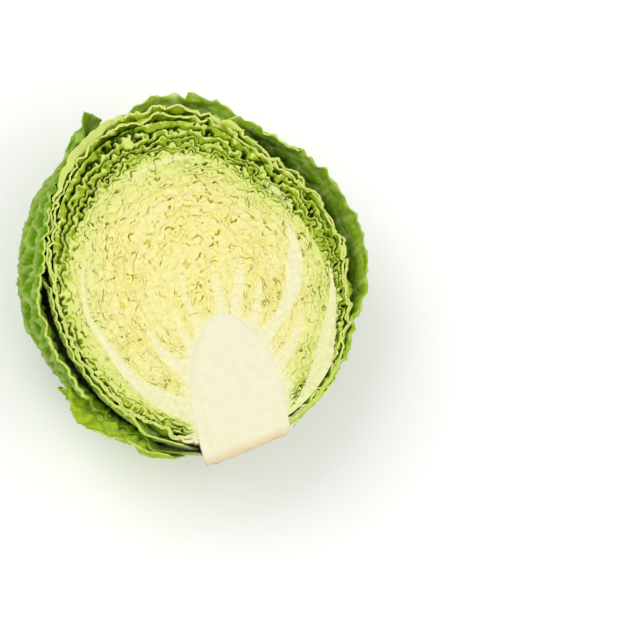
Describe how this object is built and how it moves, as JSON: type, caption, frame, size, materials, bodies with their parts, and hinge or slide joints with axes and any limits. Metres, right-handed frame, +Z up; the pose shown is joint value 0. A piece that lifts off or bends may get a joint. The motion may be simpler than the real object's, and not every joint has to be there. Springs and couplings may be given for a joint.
{
  "type": "savoy cabbage half",
  "caption": "Half a savoy cabbage cut lengthwise, resting on its rounded back, with a pale core, crinkled packed leaves and loose blistered wrapper leaves.",
  "frame": {"origin": "middle of the base, below the rounded back, on the surface that the half rests on", "axes": "+Z up, out of the cut face; +Y from the stump towards the crown; +X across the cut face"},
  "size_m": [0.1688, 0.1878, 0.076],
  "materials": {
    "core": "moist smooth cut stalk, cream, tan at the stump end",
    "heart": "pale yellow tightly crinkled leaf",
    "inner_leaf": "pale yellow crinkled leaf, soft sheen",
    "middle_leaf": "yellow-green crinkled leaf, soft sheen",
    "wrapper_leaf": "green blistered leaf with pale raised veins, waxy sheen"
  },
  "bodies": {
    "root": {"core": "core", "heart": "heart", "packed_leaf_01": "inner_leaf", "packed_leaf_02": "inner_leaf", "packed_leaf_03": "inner_leaf", "packed_leaf_04": "inner_leaf", "packed_leaf_05": "inner_leaf", "packed_leaf_06": "middle_leaf", "packed_leaf_07": "middle_leaf", "packed_leaf_08": "middle_leaf", "packed_leaf_09": "middle_leaf", "wrapper_leaf_right": "wrapper_leaf", "wrapper_leaf_left_inner": "wrapper_leaf", "wrapper_leaf_back": "wrapper_leaf", "wrapper_leaf_left_outer": "wrapper_leaf", "wrapper_leaf_lower_left": "wrapper_leaf"}
  },
  "joints": []
}
